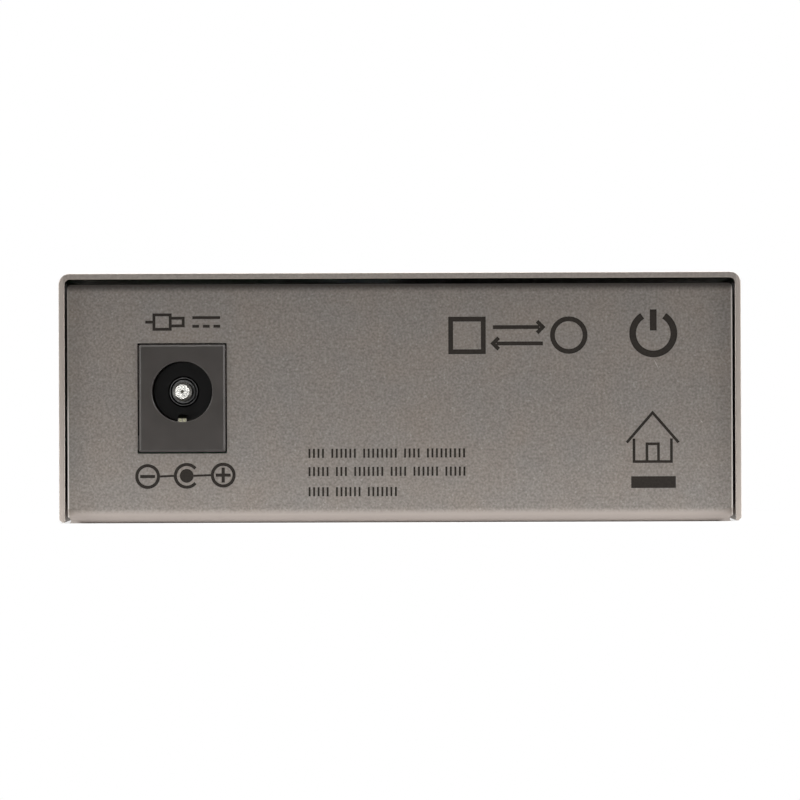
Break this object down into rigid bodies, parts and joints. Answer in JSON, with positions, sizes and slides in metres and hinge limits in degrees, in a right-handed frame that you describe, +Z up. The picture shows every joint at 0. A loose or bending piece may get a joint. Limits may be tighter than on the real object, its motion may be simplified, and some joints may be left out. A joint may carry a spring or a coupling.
{
  "type": "fibre media converter",
  "caption": "Desktop box in folded sheet metal that joins an Ethernet jack to a duplex fibre port, with a barrel power jack at its rear end.",
  "frame": {"origin": "centre of the underside, on the desk", "axes": "+X to the right when the power end is seen, +Y from the power end to the port end, +Z up"},
  "size_m": [0.071, 0.094, 0.026],
  "materials": {
    "case_paint": "satin brownish grey metallic paint",
    "screw_steel": "dark zinc",
    "standoff_brass": "turned",
    "board_green": "solder resist on glass laminate",
    "jack_plastic": "moulded",
    "contact_nickel": "nickel plate",
    "shield_steel": "tin plate",
    "contact_gold": "thin gold plate",
    "fibre_plastic": "moulded",
    "latch_plastic": "natural moulding",
    "sleeve_metal": "turned",
    "pipe_clear": "clear, slightly frosted",
    "can_aluminium": "drawn",
    "ferrite": "pressed",
    "chip_resin": "moulded"
  },
  "bodies": {
    "root": {"base_chassis": "case_paint", "top_cover": "case_paint", "cover_screws": "screw_steel", "board_standoffs": "standoff_brass", "board_screws": "screw_steel", "circuit_board": "board_green", "dc_jack_housing": "jack_plastic", "dc_jack_centre_pin": "contact_nickel", "dc_jack_pin_terminal": "contact_nickel", "dc_jack_sleeve_spring": "contact_nickel", "dc_jack_switch_contact": "contact_nickel", "ethernet_jack_shield": "shield_steel", "ethernet_jack_housing": "jack_plastic", "ethernet_jack_contacts": "contact_gold", "fibre_receptacle": "fibre_plastic", "fibre_rear_shell": "fibre_plastic", "fibre_driver_board": "board_green", "fibre_pins": "contact_gold", "light_pipe_holder": "jack_plastic", "indicator_leds": "latch_plastic", "transmit_latch": "latch_plastic", "receive_latch": "latch_plastic", "transmit_sleeve": "sleeve_metal", "receive_sleeve": "sleeve_metal", "transmit_optic_can": "shield_steel", "receive_optic_can": "shield_steel", "power_light_pipe": "pipe_clear", "speed_light_pipe": "pipe_clear", "fibre_link_light_pipe": "pipe_clear", "copper_link_light_pipe": "pipe_clear", "input_capacitor": "can_aluminium", "output_capacitor": "can_aluminium", "power_inductor": "ferrite", "voltage_regulator": "chip_resin", "converter_chip": "chip_resin", "clock_crystal": "shield_steel", "memory_chip": "chip_resin", "line_transformer": "chip_resin"}
  },
  "joints": []
}
